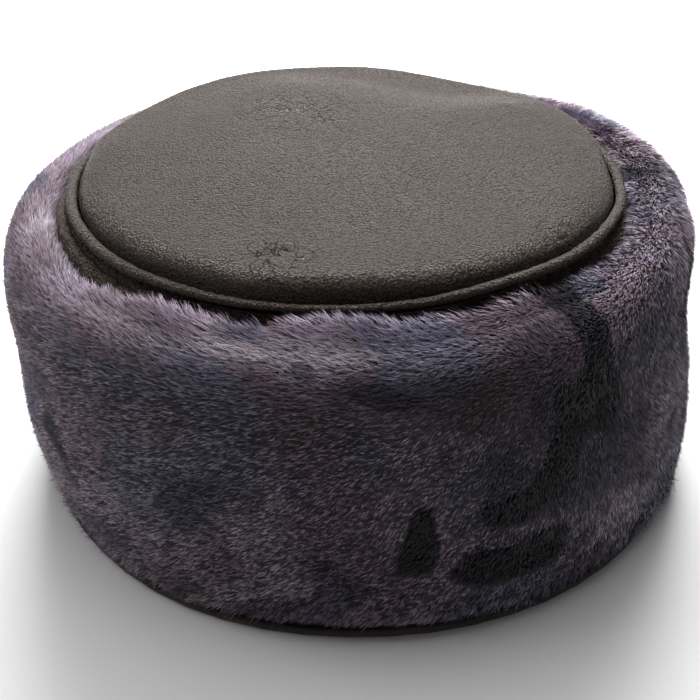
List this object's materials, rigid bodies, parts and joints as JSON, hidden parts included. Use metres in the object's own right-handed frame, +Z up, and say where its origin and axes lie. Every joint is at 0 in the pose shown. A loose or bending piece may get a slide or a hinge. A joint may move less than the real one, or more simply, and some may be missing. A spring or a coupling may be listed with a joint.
{
  "type": "kubanka fur hat",
  "caption": "Round fur hat with a straight plush band, a low domed leather crown with piping round its rim, and a leather-bound lower edge.",
  "frame": {"origin": "middle of the object's box at the height of the surface that the lower edge rests on", "axes": "+X towards the back of the hat, where the band's seam is; -X front; +Z up through the crown"},
  "size_m": [0.2414, 0.2226, 0.1196],
  "materials": {
    "mottled_pile": "dense short plush pile, dark and softly mottled in slate, brown and lilac grey",
    "crown_leather": "fine pebbled grain, satin",
    "binding_leather": "smooth, matt"
  },
  "bodies": {
    "root": {"fur_band": "mottled_pile", "hem_binding": "binding_leather", "crown_side": "crown_leather", "crown_welt": "crown_leather", "crown_tip": "crown_leather"}
  },
  "joints": []
}
